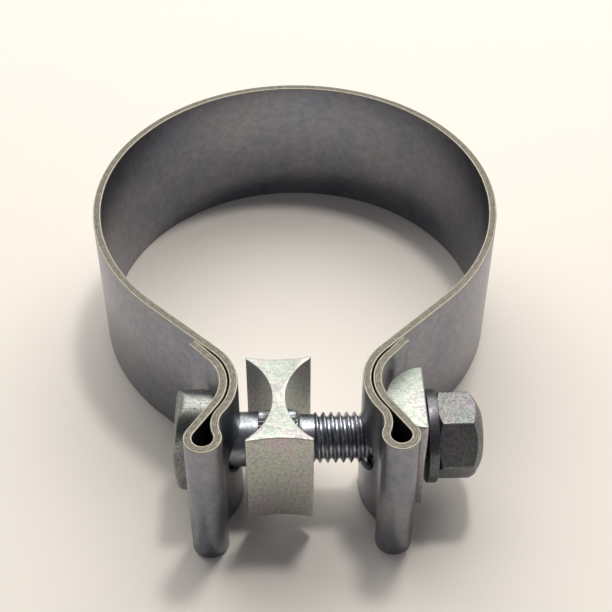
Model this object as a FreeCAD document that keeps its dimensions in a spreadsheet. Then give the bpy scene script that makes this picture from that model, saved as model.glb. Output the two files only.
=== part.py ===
import FreeCAD
import Part
import Sketcher
import math
import os

# Single-bolt band clamp for joining and sealing round pipe.
# Frame: the pipe runs along Z, the bolt lies along X and sits on the -Y side, and the origin is
# the centre of the pipe bore at half the band's width.  All sizes are millimetres.

doc = FreeCAD.newDocument("band_clamp")
sheet = doc.addObject("Spreadsheet::Sheet", "sizes")

# name, value, what it sizes
SIZES = [
    ("band_width", 31.75, "band, along the pipe"),
    ("strip_thickness", 1.6, "band strip"),
    ("bore_radius", 41.3, "inside of the band round the back"),
    ("haunch_extra", 2.6, "haunch radius above the bore radius"),
    ("haunch_drop", 7.3, "start of the haunch below the bore centre"),
    ("bolt_stand_off", 11.1, "seat centres beyond the bore surface"),
    ("lug_half_span", 23.6, "seat centre from the middle, clamp open"),
    ("fold_gap", 0.35, "between the two layers of a lug"),
    ("eyelet_inset", 6.0, "eyelet centre nearer the middle than the seat"),
    ("eyelet_drop", 13.15, "eyelet centre beyond the seat"),
    ("eyelet_radius", 3.5, "outside of the eyelet"),
    ("neck_radius", 4.6, "hollow side of the neck above the eyelet"),
    ("tail_length", 5.0, "straight end of the folded layer"),
    ("bearing_radius", 7.7, "round face of the bolt head and of the bar"),
    ("seat_clearance", 0.85, "lug seat round that face"),
    ("bolt_lead", 0.4, "bolt axis nearer the eyelets than the seats"),
    ("head_depth", 8.3, "bolt head, crest to the middle of its outer face"),
    ("head_crown", 1.6, "bulge of the outer face, end to middle"),
    ("head_width", 13.0, "bolt head, along Y"),
    ("head_height", 22.6, "bolt head, along Z"),
    ("bolt_diameter", 9.85, "thread, as a plain cylinder"),
    ("slot_play", 1.4, "lug slot, along Z, above the bolt's diameter"),
    ("slot_travel", 2.75, "lug slot, along Y, above its height"),
    ("bolt_reach", 57.5, "bolt end from the centre of the head's bearing face"),
    ("end_chamfer", 1.0, "bolt end"),
    ("shank_rise", 0.36, "shank above the thread"),
    ("knurl_start", 15.5, "knurl from the same centre"),
    ("knurl_length", 7.5, "knurl"),
    ("knurl_rise", 0.54, "knurl's ridges above the thread"),
    ("relief_length", 2.6, "relief between knurl and thread"),
    ("relief_cut", 0.33, "relief below the thread"),
    ("bar_depth", 7.4, "half-round bar, crest to flat"),
    ("bar_height", 22.7, "half-round bar, along Z"),
    ("washer_radius", 9.0, "washer"),
    ("washer_thickness", 2.0, "washer"),
    ("hole_clearance", 0.3, "bar and washer holes round the bolt"),
    ("washer_play", 0.6, "between the bar's flat and the washer"),
    ("nut_play", 0.02, "between washer and nut"),
    ("nut_flats", 15.0, "nut across flats"),
    ("nut_height", 8.6, "nut, along the bolt"),
    ("nut_cone_start", 5.0, "radius where the nut's outer end starts to fall away"),
    ("nut_cone_slope", 0.62, "fall of that cone for each millimetre of radius"),
    ("nut_foot_slope", 0.6, "the same for the small cone at the washer end"),
    ("nut_clocking", 55.6, "turn of the hexagon, in degrees"),
    ("thread_clearance", 0.05, "nut bore round the plain thread"),
    ("block_width", 12.5, "reaction block, along X"),
    ("block_land", 0.75, "its flat sides from hollow to corner"),
    ("block_height", 22.9, "reaction block, along Z"),
    ("block_neck", 2.5, "waist of the reaction block"),
    ("block_hollow", 0.8, "dish of its front and back faces"),
    ("block_raise", 0.35, "middle of the block above the bolt, along Z"),
    ("block_offset", 4.05, "block from the middle, towards the head"),
    ("block_fit", 0.07, "block bore round the knurl"),
    ("shoulder_clearance", 0.1, "block hollow round the lug shoulder"),
]
for row, (name, number, note) in enumerate(SIZES, start=1):
    sheet.set(f"A{row}", note)
    sheet.set(f"B{row}", str(number))
    sheet.setAlias(f"B{row}", name)
doc.recompute()

SEAT = "sizes.bearing_radius + sizes.seat_clearance"
SHOULDER = f"{SEAT} + 2 * sizes.strip_thickness + sizes.fold_gap"
SEAT_Y = "-sizes.bore_radius - sizes.bolt_stand_off"
BOLT_Y = f"{SEAT_Y} - sizes.bolt_lead"
BAR_FACE = "sizes.lug_half_span + sizes.bar_depth - sizes.bearing_radius"

# how far cutting outlines run past what they cut
CUT_REACH = 3  # bearing radii
CUT_RISE = 1.5  # half heights of the head
NUT_REACH = 1.2  # corner radii of the nut
LEAST_CUT = 1e-6  # mm3 a cut has to take away


def size(name):
    """One number of the sheet."""
    return float(sheet.get(name))


def seat_size():
    """Radius of a lug's hollow seat, the number behind SEAT."""
    return size("bearing_radius") + size("seat_clearance")


def shoulder_size():
    """Radius of a lug's bolt-side shoulder, the number behind SHOULDER."""
    return seat_size() + 2 * size("strip_thickness") + size("fold_gap")


def point(x, y):
    return FreeCAD.Vector(x, y, 0)


def towards(degrees):
    """Unit vector in a sketch at an angle from its first axis."""
    return point(math.cos(math.radians(degrees)), math.sin(math.radians(degrees)))


def angle_of(vector):
    return math.degrees(math.atan2(vector.y, vector.x))


# ---------------------------------------------------------------- sketches and features

def origin_plane(body, role):
    """One of the body's own origin planes or axes."""
    for feature in body.Origin.OriginFeatures:
        if feature.Role == role:
            return feature
    raise ValueError(role)


class Outline:
    """A closed or open chain of lines and arcs in one sketch, with its constraints."""

    def __init__(self, body, role, name):
        self.sketch = body.newObject("Sketcher::SketchObject", name)
        self.sketch.AttachmentSupport = [(origin_plane(body, role), "")]
        self.sketch.MapMode = "FlatFace"
        self.first = {}
        self.last = {}

    def line(self, start, end):
        index = self.sketch.addGeometry(Part.LineSegment(start, end), False)
        self.first[index], self.last[index] = 1, 2
        return index

    def arc(self, centre, start, end, turn):
        """An arc from start to end; turn is 1 anticlockwise, -1 clockwise."""
        radius = (start - centre).Length
        low, high = (start, end) if turn > 0 else (end, start)
        first_angle = math.radians(angle_of(low - centre))
        last_angle = math.radians(angle_of(high - centre))
        if last_angle <= first_angle:
            last_angle += 2 * math.pi
        circle = Part.Circle(centre, FreeCAD.Vector(0, 0, 1), radius)
        index = self.sketch.addGeometry(Part.ArcOfCircle(circle, first_angle, last_angle), False)
        self.first[index], self.last[index] = (1, 2) if turn > 0 else (2, 1)
        return index

    def circle(self, centre, radius):
        return self.sketch.addGeometry(Part.Circle(centre, FreeCAD.Vector(0, 0, 1), radius), False)

    def rule(self, *constraint):
        return self.sketch.addConstraint(Sketcher.Constraint(*constraint))

    def bind(self, name, expression, *constraint):
        """A constraint whose value follows the sheet."""
        index = self.rule(*constraint)
        self.sketch.renameConstraint(index, name)
        self.sketch.setExpression(f"Constraints.{name}", expression)

    def meet(self, one, two):
        self.rule("Coincident", one, self.last[one], two, self.first[two])

    def smooth(self, one, two):
        self.rule("Tangent", one, self.last[one], two, self.first[two])

    def close(self, edges):
        """Corners between neighbours, all the way round."""
        for one, two in zip(edges, edges[1:] + edges[:1]):
            self.meet(one, two)

    def place(self, name, edge, position, x_expression, y_expression):
        """A point of an edge, held from the sketch's origin along both axes."""
        here = self.sketch.getPoint(edge, position)
        self.bind(f"{name}_x", x_expression, "DistanceX", -1, 1, edge, position, here.x)
        self.bind(f"{name}_y", y_expression, "DistanceY", -1, 1, edge, position, here.y)


def pad(body, outline, length, both_ways=True, reversed_=False):
    feature = body.newObject("PartDesign::Pad", f"{outline.sketch.Name}_pad")
    feature.Profile = outline.sketch
    feature.SideType = "Symmetric" if both_ways else "One side"
    feature.setExpression("Length", length)
    feature.Reversed = reversed_
    doc.recompute()
    return feature


def cut_through(body, outline):
    """A pocket both ways through the body; it has to take something away."""
    before = body.Shape.Volume
    feature = body.newObject("PartDesign::Pocket", f"{outline.sketch.Name}_cut")
    feature.Profile = outline.sketch
    feature.SideType = "Symmetric"
    feature.Type = "ThroughAll"
    doc.recompute()
    if not body.Shape.Volume < before - LEAST_CUT:
        raise RuntimeError(f"{feature.Name} cuts nothing")
    return feature


def turn_cut(body, outline):
    """A groove right round the body's X axis; it has to take something away."""
    before = body.Shape.Volume
    feature = body.newObject("PartDesign::Groove", f"{outline.sketch.Name}_groove")
    feature.Profile = outline.sketch
    feature.ReferenceAxis = (origin_plane(body, "X_Axis"), [""])
    feature.Angle = 360
    doc.recompute()
    if not body.Shape.Volume < before - LEAST_CUT:
        raise RuntimeError(f"{feature.Name} cuts nothing")
    return feature


def put(body, x_expression, y_expression):
    """Moves a body from its own origin to its place on the clamp."""
    body.setExpression("Placement.Base.x", x_expression)
    body.setExpression("Placement.Base.y", y_expression)


def round_hole(body, name, diameter, diameter_expression, drop=0.0, drop_expression="0"):
    """A hole along X through the body's origin, or some way below it."""
    hole = Outline(body, "YZ_Plane", name)
    edge = hole.circle(point(0, -drop), diameter / 2)
    hole.place("centre", edge, 3, "0", f"-({drop_expression})")
    hole.bind("bore", diameter_expression, "Diameter", edge, diameter)
    cut_through(body, hole)


# ---------------------------------------------------------------- band

def strip_side(outline, offset):
    """One face of the strip as nine tangent stretches, from the back to the end of the fold.

    offset is 0 for the face towards pipe and bolt, and the strip's thickness for the other one.
    """
    bore = size("bore_radius")
    haunch = bore + size("haunch_extra")
    seat = seat_size()
    shoulder = shoulder_size()
    neck = size("neck_radius")
    eyelet = size("eyelet_radius")
    middle = point(0, 0)
    seat_centre = point(-size("lug_half_span"), -bore - size("bolt_stand_off"))
    eyelet_centre = seat_centre + point(size("eyelet_inset"), -size("eyelet_drop"))

    drop = size("haunch_drop")
    haunch_way = point(-math.sqrt(bore**2 - drop**2), -drop) / bore
    haunch_centre = haunch_way * (bore - haunch)

    reach = seat_centre - haunch_centre
    flank_way = towards(angle_of(reach) - math.degrees(math.acos((haunch + shoulder) / reach.Length)))
    flank_run = point(flank_way.y, -flank_way.x)

    fall = eyelet_centre - seat_centre
    long_side, short_side = shoulder + neck, eyelet + neck
    cosine = (long_side**2 + fall.Length**2 - short_side**2) / (2 * long_side * fall.Length)
    neck_way = towards(angle_of(fall) + math.degrees(math.acos(cosine)))
    neck_centre = seat_centre + neck_way * long_side
    eyelet_way = (neck_centre - eyelet_centre) / short_side
    return_way = towards(angle_of(fall) + math.degrees(math.acos((seat + eyelet) / fall.Length)))

    ring_start = point(0, bore + offset)
    ring_end = haunch_way * (bore + offset)
    haunch_end = haunch_centre + flank_way * (haunch + offset)
    flank_end = seat_centre - flank_way * (shoulder - offset)
    shoulder_end = seat_centre + neck_way * (shoulder - offset)
    neck_end = eyelet_centre + eyelet_way * (eyelet - offset)
    eyelet_end = eyelet_centre - return_way * (eyelet - offset)
    return_end = seat_centre + return_way * (seat + offset)
    fold_end = seat_centre - flank_way * (seat + offset)
    tail_end = fold_end + flank_run * size("tail_length")

    ring = outline.arc(middle, ring_start, ring_end, 1)
    haunch_arc = outline.arc(haunch_centre, ring_end, haunch_end, 1)
    flank = outline.line(haunch_end, flank_end)
    shoulder_arc = outline.arc(seat_centre, flank_end, shoulder_end, -1)
    neck_arc = outline.arc(neck_centre, shoulder_end, neck_end, 1)
    eyelet_arc = outline.arc(eyelet_centre, neck_end, eyelet_end, -1)
    return_line = outline.line(eyelet_end, return_end)
    fold_arc = outline.arc(seat_centre, return_end, fold_end, 1)
    tail = outline.line(fold_end, tail_end)
    chain = [ring, haunch_arc, flank, shoulder_arc, neck_arc, eyelet_arc, return_line, fold_arc, tail]
    for one, two in zip(chain, chain[1:]):
        outline.smooth(one, two)
    return chain


def band_half(name):
    """Half of the band: ring, haunch, shoulder, eyelet and the layer folded back on the outside."""
    body = doc.addObject("PartDesign::Body", name)
    outline = Outline(body, "XY_Plane", f"{name}_outline")
    near = strip_side(outline, 0.0)
    far = strip_side(outline, size("strip_thickness"))
    ring, haunch, flank, shoulder, neck, eyelet, _, fold, tail = near
    far_ring, far_haunch, _, far_shoulder, far_neck, far_eyelet, _, far_fold, far_tail = far
    sketch = outline.sketch

    # the face towards pipe and bolt carries the sizes
    outline.rule("Coincident", ring, 3, -1, 1)
    outline.rule("PointOnObject", ring, outline.first[ring], -2)
    outline.bind("bore", "sizes.bore_radius", "Radius", ring, size("bore_radius"))
    haunch_size = size("bore_radius") + size("haunch_extra")
    outline.bind("haunch", "sizes.bore_radius + sizes.haunch_extra", "Radius", haunch, haunch_size)
    outline.bind("drop", "-sizes.haunch_drop", "DistanceY", -1, 1, ring, outline.last[ring],
                 -size("haunch_drop"))
    outline.place("seat", shoulder, 3, "-sizes.lug_half_span", SEAT_Y)
    outline.bind("shoulder", SHOULDER, "Radius", shoulder, shoulder_size())
    outline.bind("neck", "sizes.neck_radius", "Radius", neck, size("neck_radius"))
    outline.place("eyelet_centre", eyelet, 3, "-sizes.lug_half_span + sizes.eyelet_inset",
                  f"{SEAT_Y} - sizes.eyelet_drop")
    outline.bind("eyelet", "sizes.eyelet_radius", "Radius", eyelet, size("eyelet_radius"))
    outline.rule("Coincident", fold, 3, shoulder, 3)
    outline.bind("seat", SEAT, "Radius", fold, seat_size())
    outline.rule("Parallel", tail, flank)
    tail_size = size("tail_length")
    outline.bind("tail", "sizes.tail_length", "Distance", tail, 1, tail, 2, tail_size)

    # the other face keeps the same centres, one thickness away
    thickness = size("strip_thickness")
    outline.rule("Coincident", far_ring, 3, -1, 1)
    outline.rule("PointOnObject", far_ring, outline.first[far_ring], -2)
    outline.bind("back", "sizes.bore_radius + sizes.strip_thickness", "Radius", far_ring,
                 size("bore_radius") + thickness)
    outline.rule("Coincident", far_haunch, 3, haunch, 3)
    outline.rule("Coincident", far_shoulder, 3, shoulder, 3)
    outline.bind("far_shoulder", f"{SHOULDER} - sizes.strip_thickness", "Radius", far_shoulder,
                 shoulder_size() - thickness)
    outline.rule("Coincident", far_neck, 3, neck, 3)
    outline.rule("Coincident", far_eyelet, 3, eyelet, 3)
    outline.rule("Coincident", far_fold, 3, shoulder, 3)
    outline.bind("far_fold", f"{SEAT} + sizes.strip_thickness", "Radius", far_fold,
                 seat_size() + thickness)
    outline.rule("Parallel", far_tail, tail)

    # the strip's two ends
    back = outline.line(sketch.getPoint(far_ring, outline.first[far_ring]),
                        sketch.getPoint(ring, outline.first[ring]))
    outline.rule("Coincident", back, 1, far_ring, outline.first[far_ring])
    outline.rule("Coincident", back, 2, ring, outline.first[ring])
    tip = outline.line(sketch.getPoint(tail, 2), sketch.getPoint(far_tail, 2))
    outline.rule("Coincident", tip, 1, tail, 2)
    outline.rule("Coincident", tip, 2, far_tail, 2)
    outline.rule("Perpendicular", tip, tail)
    pad(body, outline, "sizes.band_width")

    # oblong slot through both layers of the lug
    half_height = (size("bolt_diameter") + size("slot_play")) / 2
    half_run = size("slot_travel") / 2
    seat_y = -size("bore_radius") - size("bolt_stand_off")
    slot = Outline(body, "YZ_Plane", f"{name}_slot")
    front = slot.arc(point(seat_y - half_run, 0), point(seat_y - half_run, half_height),
                     point(seat_y - half_run, -half_height), 1)
    low = slot.line(point(seat_y - half_run, -half_height), point(seat_y + half_run, -half_height))
    rear = slot.arc(point(seat_y + half_run, 0), point(seat_y + half_run, -half_height),
                    point(seat_y + half_run, half_height), 1)
    high = slot.line(point(seat_y + half_run, half_height), point(seat_y - half_run, half_height))
    for one, two in zip([front, low, rear, high], [low, rear, high, front]):
        slot.smooth(one, two)
    slot.place("front", front, 3, f"{SEAT_Y} - sizes.slot_travel / 2", "0")
    slot.bind("height", "(sizes.bolt_diameter + sizes.slot_play) / 2", "Radius", front, half_height)
    slot.rule("Horizontal", low)
    slot.bind("run", "sizes.slot_travel", "Distance", low, 1, low, 2, 2 * half_run)
    cut_through(body, slot)
    return body


# ---------------------------------------------------------------- bolt

def tee_bolt():
    """Bolt with a half-round cross head, a knurled stretch, a relief and a threaded end."""
    body = doc.addObject("PartDesign::Body", "tee_bolt")
    bearing_size = size("bearing_radius")
    middle_x = bearing_size - size("head_depth")
    half_height = size("head_height") / 2
    crown = size("head_crown")
    crown_radius = (half_height**2 + crown**2) / (2 * crown)
    block_x = -bearing_size

    # head seen along Z: half round towards the lug, with room behind for the outer face
    plan = Outline(body, "XY_Plane", "head_plan")
    high, low = point(0, bearing_size), point(0, -bearing_size)
    bearing = plan.arc(point(0, 0), low, high, 1)
    upper = plan.line(high, point(block_x, bearing_size))
    behind = plan.line(point(block_x, bearing_size), point(block_x, -bearing_size))
    lower = plan.line(point(block_x, -bearing_size), low)
    plan.close([bearing, upper, behind, lower])
    plan.rule("Coincident", bearing, 3, -1, 1)
    plan.rule("PointOnObject", bearing, 1, -2)
    plan.rule("PointOnObject", bearing, 2, -2)
    plan.rule("Horizontal", upper)
    plan.rule("Vertical", behind)
    plan.rule("Horizontal", lower)
    plan.bind("bearing", "sizes.bearing_radius", "Radius", bearing, bearing_size)
    plan.bind("behind", "-sizes.bearing_radius", "DistanceX", -1, 1, behind, 1, block_x)
    pad(body, plan, "sizes.head_height")

    # outer face seen along Y: bulging in the middle of the head's height
    side = Outline(body, "XZ_Plane", "head_side")
    end_x = middle_x + crown
    away = -CUT_REACH * bearing_size
    rise = CUT_RISE * half_height
    upper_end, lower_end = point(end_x, half_height), point(end_x, -half_height)
    face = side.arc(point(middle_x + crown_radius, 0), upper_end, lower_end, 1)
    low_step = side.line(lower_end, point(end_x, -rise))
    low_side = side.line(point(end_x, -rise), point(away, -rise))
    back = side.line(point(away, -rise), point(away, rise))
    high_side = side.line(point(away, rise), point(end_x, rise))
    high_step = side.line(point(end_x, rise), upper_end)
    side.close([face, low_step, low_side, back, high_side, high_step])
    side.rule("PointOnObject", face, 3, -1)
    side.rule("Vertical", low_step)
    side.rule("Horizontal", low_side)
    side.rule("Vertical", back)
    side.rule("Horizontal", high_side)
    side.rule("Vertical", high_step)
    side.bind("crown", "((sizes.head_height / 2)^2 + sizes.head_crown^2) / (2 * sizes.head_crown)",
              "Radius", face, crown_radius)
    side.place("corner", face, 1, "sizes.bearing_radius - sizes.head_depth + sizes.head_crown",
               "sizes.head_height / 2")
    rise_expression = f"{CUT_RISE} * sizes.head_height / 2"
    side.bind("low_edge", f"-{rise_expression}", "DistanceY", -1, 1, low_side, 1, -rise)
    side.place("outside", back, 2, f"-{CUT_REACH} * sizes.bearing_radius", rise_expression)
    cut_through(body, side)

    # head seen along X: oblong with full-round ends
    half_width = size("head_width") / 2
    straight = size("head_height") / 2 - half_width
    far = size("head_height") / 2 + CUT_REACH * bearing_size
    face = Outline(body, "YZ_Plane", "head_face")
    right = face.line(point(half_width, -straight), point(half_width, straight))
    top = face.arc(point(0, straight), point(half_width, straight), point(-half_width, straight), 1)
    left = face.line(point(-half_width, straight), point(-half_width, -straight))
    bottom = face.arc(point(0, -straight), point(-half_width, -straight), point(half_width, -straight), 1)
    for one, two in zip([right, top, left, bottom], [top, left, bottom, right]):
        face.smooth(one, two)
    face.rule("Symmetric", top, 3, bottom, 3, -1, 1)
    face.rule("PointOnObject", top, 3, -2)
    face.bind("round_end", "sizes.head_width / 2", "Radius", top, half_width)
    face.bind("straight", "sizes.head_height - sizes.head_width", "DistanceY", right, 1, right, 2,
              2 * straight)
    corners = [point(-far, -far), point(far, -far), point(far, far), point(-far, far)]
    frame = [face.line(one, two) for one, two in zip(corners, corners[1:] + corners[:1])]
    face.close(frame)
    face.rule("Horizontal", frame[0])
    face.rule("Vertical", frame[1])
    face.rule("Horizontal", frame[2])
    face.rule("Vertical", frame[3])
    face.rule("Symmetric", frame[0], 1, frame[2], 1, -1, 1)
    far_expression = f"sizes.head_height + 2 * {CUT_REACH} * sizes.bearing_radius"
    face.bind("frame_side", far_expression, "DistanceX", frame[0], 1, frame[0], 2, 2 * far)
    face.bind("frame_rise", far_expression, "DistanceY", frame[1], 1, frame[1], 2, 2 * far)
    cut_through(body, face)

    # shank, knurl, relief and thread turned about X
    thread = size("bolt_diameter") / 2
    shank = thread + size("shank_rise")
    knurl = thread + size("knurl_rise")
    relief = thread - size("relief_cut")
    knurl_start = size("knurl_start")
    knurl_end = knurl_start + size("knurl_length")
    thread_start = knurl_end + size("relief_length")
    end = size("bolt_reach")
    chamfer = size("end_chamfer")
    taper = size("relief_cut")
    steps = [(0, 0), (0, shank), (knurl_start, shank), (knurl_start, knurl), (knurl_end, knurl),
             (knurl_end, relief), (thread_start - taper, relief), (thread_start, thread),
             (end - chamfer, thread), (end, thread - chamfer), (end, 0)]
    corners = [point(x, radius) for x, radius in steps]
    turned = Outline(body, "XY_Plane", "shank_profile")
    edges = [turned.line(one, two) for one, two in zip(corners, corners[1:] + corners[:1])]
    turned.close(edges)
    turned.rule("Coincident", edges[0], 1, -1, 1)
    turned.rule("Vertical", edges[0])
    for edge in (1, 3, 5, 7, 10):
        turned.rule("Horizontal", edges[edge])
    for edge in (2, 4, 9):
        turned.rule("Vertical", edges[edge])
    radius_expression = "sizes.bolt_diameter / 2"
    knurl_end_expression = "sizes.knurl_start + sizes.knurl_length"
    thread_expression = f"{knurl_end_expression} + sizes.relief_length"
    turned.bind("shank", f"{radius_expression} + sizes.shank_rise", "DistanceY", -1, 1, edges[1], 1, shank)
    turned.bind("knurl_at", "sizes.knurl_start", "DistanceX", -1, 1, edges[2], 1, knurl_start)
    turned.bind("knurl", f"{radius_expression} + sizes.knurl_rise", "DistanceY", -1, 1, edges[3], 1, knurl)
    turned.bind("knurl_to", knurl_end_expression, "DistanceX", -1, 1, edges[4], 1, knurl_end)
    turned.bind("relief", f"{radius_expression} - sizes.relief_cut", "DistanceY", -1, 1, edges[5], 1,
                relief)
    turned.bind("taper_at", f"{thread_expression} - sizes.relief_cut", "DistanceX", -1, 1, edges[6], 1,
                thread_start - taper)
    turned.place("thread", edges[7], 1, thread_expression, radius_expression)
    turned.bind("chamfer_at", "sizes.bolt_reach - sizes.end_chamfer", "DistanceX", -1, 1, edges[8], 1,
                end - chamfer)
    turned.place("end", edges[9], 1, "sizes.bolt_reach", f"{radius_expression} - sizes.end_chamfer")
    feature = body.newObject("PartDesign::Revolution", "shank_turned")
    feature.Profile = turned.sketch
    feature.ReferenceAxis = (origin_plane(body, "X_Axis"), [""])
    feature.Angle = 360
    doc.recompute()
    put(body, "-sizes.lug_half_span", BOLT_Y)
    return body


# ---------------------------------------------------------------- block, bar, washer, nut

def reaction_block():
    """Spool-shaped block between the lugs, hollowed on both sides to match their shoulders."""
    body = doc.addObject("PartDesign::Body", "reaction_block")
    half_width = size("block_width") / 2
    hollow = shoulder_size() + size("shoulder_clearance")
    centre_x = size("block_neck") / 2 + hollow
    rise = math.sqrt(hollow**2 - (centre_x - half_width)**2)
    half_depth = rise + size("block_land")
    dish = size("block_hollow")
    dish_radius = (half_width**2 + dish**2) / (2 * dish)
    dish_y = half_depth - dish + dish_radius
    hollow_expression = f"{SHOULDER} + sizes.shoulder_clearance"
    centre_expression = f"sizes.block_neck / 2 + {hollow_expression}"
    depth_expression = (f"sqrt(({hollow_expression})^2 - ({centre_expression} - sizes.block_width / 2)^2)"
                        " + sizes.block_land")

    outline = Outline(body, "XY_Plane", "block_outline")
    right_top = outline.line(point(half_width, rise), point(half_width, half_depth))
    back = outline.arc(point(0, dish_y), point(half_width, half_depth), point(-half_width, half_depth), -1)
    left_top = outline.line(point(-half_width, half_depth), point(-half_width, rise))
    left = outline.arc(point(-centre_x, 0), point(-half_width, rise), point(-half_width, -rise), -1)
    left_low = outline.line(point(-half_width, -rise), point(-half_width, -half_depth))
    front = outline.arc(point(0, -dish_y), point(-half_width, -half_depth), point(half_width, -half_depth),
                        -1)
    right_low = outline.line(point(half_width, -half_depth), point(half_width, -rise))
    right = outline.arc(point(centre_x, 0), point(half_width, -rise), point(half_width, rise), -1)
    outline.close([right_top, back, left_top, left, left_low, front, right_low, right])
    for edge in (right_top, left_top, left_low, right_low):
        outline.rule("Vertical", edge)
    outline.place("right_hollow", right, 3, centre_expression, "0")
    outline.place("left_hollow", left, 3, f"-({centre_expression})", "0")
    outline.bind("right_radius", hollow_expression, "Radius", right, hollow)
    outline.bind("left_radius", hollow_expression, "Radius", left, hollow)
    outline.place("back_corner", right_top, 2, "sizes.block_width / 2", depth_expression)
    outline.place("left_corner", left_low, 2, "-sizes.block_width / 2", f"-({depth_expression})")
    outline.bind("left_rise", depth_expression, "DistanceY", -1, 1, left_top, 1, half_depth)
    outline.bind("right_fall", f"-({depth_expression})", "DistanceY", -1, 1, right_low, 1, -half_depth)
    dish_expression = "((sizes.block_width / 2)^2 + sizes.block_hollow^2) / (2 * sizes.block_hollow)"
    outline.bind("back_dish", dish_expression, "Radius", back, dish_radius)
    outline.bind("front_dish", dish_expression, "Radius", front, dish_radius)
    pad(body, outline, "sizes.block_height")
    bore = size("bolt_diameter") + 2 * (size("knurl_rise") + size("block_fit"))
    round_hole(body, "block_bore", bore,
               "sizes.bolt_diameter + 2 * (sizes.knurl_rise + sizes.block_fit)",
               size("block_raise"), "sizes.block_raise")
    put(body, "-sizes.block_offset", BOLT_Y)
    body.setExpression("Placement.Base.z", "sizes.block_raise")
    return body


def half_round_bar():
    """Half-round bar that bears in the right lug, flat towards the washer."""
    body = doc.addObject("PartDesign::Body", "half_round_bar")
    bearing_size = size("bearing_radius")
    flat_x = size("bar_depth") - bearing_size
    half_side = math.sqrt(bearing_size**2 - flat_x**2)
    outline = Outline(body, "XY_Plane", "bar_outline")
    high, low = point(flat_x, half_side), point(flat_x, -half_side)
    bearing = outline.arc(point(0, 0), high, low, 1)
    flat = outline.line(low, high)
    outline.close([bearing, flat])
    outline.rule("Coincident", bearing, 3, -1, 1)
    outline.rule("Vertical", flat)
    outline.bind("bearing", "sizes.bearing_radius", "Radius", bearing, bearing_size)
    outline.bind("flat", "sizes.bar_depth - sizes.bearing_radius", "DistanceX", -1, 1, flat, 1, flat_x)
    pad(body, outline, "sizes.bar_height")
    bore = size("bolt_diameter") + 2 * size("hole_clearance")
    round_hole(body, "bar_bore", bore, "sizes.bolt_diameter + 2 * sizes.hole_clearance")
    put(body, "sizes.lug_half_span", BOLT_Y)
    return body


def washer():
    """Round plain washer between the bar's flat and the nut."""
    body = doc.addObject("PartDesign::Body", "washer")
    ring = Outline(body, "YZ_Plane", "washer_outline")
    rim = ring.circle(point(0, 0), size("washer_radius"))
    bore_radius = size("bolt_diameter") / 2 + size("hole_clearance")
    bore = ring.circle(point(0, 0), bore_radius)
    ring.rule("Coincident", rim, 3, -1, 1)
    ring.rule("Coincident", bore, 3, -1, 1)
    ring.bind("rim", "sizes.washer_radius", "Radius", rim, size("washer_radius"))
    ring.bind("bore", "sizes.bolt_diameter / 2 + sizes.hole_clearance", "Radius", bore, bore_radius)
    pad(body, ring, "sizes.washer_thickness", both_ways=False)
    put(body, f"{BAR_FACE} + sizes.washer_play", BOLT_Y)
    return body


def hex_nut():
    """Hexagon nut with both ends falling away as cones."""
    body = doc.addObject("PartDesign::Body", "hex_nut")
    corner = size("nut_flats") / math.sqrt(3)
    corners = [towards(60 * step) * corner for step in range(6)]
    hexagon = Outline(body, "YZ_Plane", "nut_hexagon")
    sides = [hexagon.line(one, two) for one, two in zip(corners, corners[1:] + corners[:1])]
    hexagon.close(sides)
    for side in sides[1:]:
        hexagon.rule("Equal", sides[0], side)
    guide = hexagon.circle(point(0, 0), corner)
    hexagon.sketch.setConstruction(guide, True)
    hexagon.rule("Coincident", guide, 3, -1, 1)
    for side in sides:
        hexagon.rule("PointOnObject", side, 1, guide)
    hexagon.rule("PointOnObject", sides[0], 1, -1)
    hexagon.bind("flats", "sizes.nut_flats / sqrt(3)", "Radius", guide, corner)
    pad(body, hexagon, "sizes.nut_height", both_ways=False)

    bore = size("bolt_diameter") + 2 * size("thread_clearance")
    round_hole(body, "nut_bore", bore, "sizes.bolt_diameter + 2 * sizes.thread_clearance")

    # both ends fall away as cones: wedges turned away about X
    height = size("nut_height")
    outside = NUT_REACH * corner
    start = size("nut_cone_start")
    run = (outside - start) * size("nut_cone_slope")
    wedge = Outline(body, "XY_Plane", "nut_outer_cone")
    slope = wedge.line(point(height, start), point(height - run, outside))
    rim = wedge.line(point(height - run, outside), point(height, outside))
    end = wedge.line(point(height, outside), point(height, start))
    wedge.close([slope, rim, end])
    wedge.rule("Horizontal", rim)
    wedge.rule("Vertical", end)
    wedge.place("start", slope, 1, "sizes.nut_height", "sizes.nut_cone_start")
    outside_expression = f"{NUT_REACH} * sizes.nut_flats / sqrt(3)"
    wedge.place("rim", rim, 1, f"sizes.nut_height - ({outside_expression} - sizes.nut_cone_start)"
                " * sizes.nut_cone_slope", outside_expression)
    turn_cut(body, wedge)

    inside = size("nut_flats") / 2
    foot_run = (outside - inside) * size("nut_foot_slope")
    foot_wedge = Outline(body, "XY_Plane", "nut_foot_cone")
    slope = foot_wedge.line(point(foot_run, outside), point(0, inside))
    end = foot_wedge.line(point(0, inside), point(0, outside))
    rim = foot_wedge.line(point(0, outside), point(foot_run, outside))
    foot_wedge.close([slope, end, rim])
    foot_wedge.rule("Vertical", end)
    foot_wedge.rule("Horizontal", rim)
    foot_wedge.place("start", end, 1, "0", "sizes.nut_flats / 2")
    foot_wedge.place("rim", slope, 1, f"({outside_expression} - sizes.nut_flats / 2) * sizes.nut_foot_slope",
                     outside_expression)
    turn_cut(body, foot_wedge)
    put(body, f"{BAR_FACE} + sizes.washer_play + sizes.washer_thickness + sizes.nut_play", BOLT_Y)
    body.Placement.Rotation = FreeCAD.Rotation(FreeCAD.Vector(1, 0, 0), size("nut_clocking"))
    return body


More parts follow.
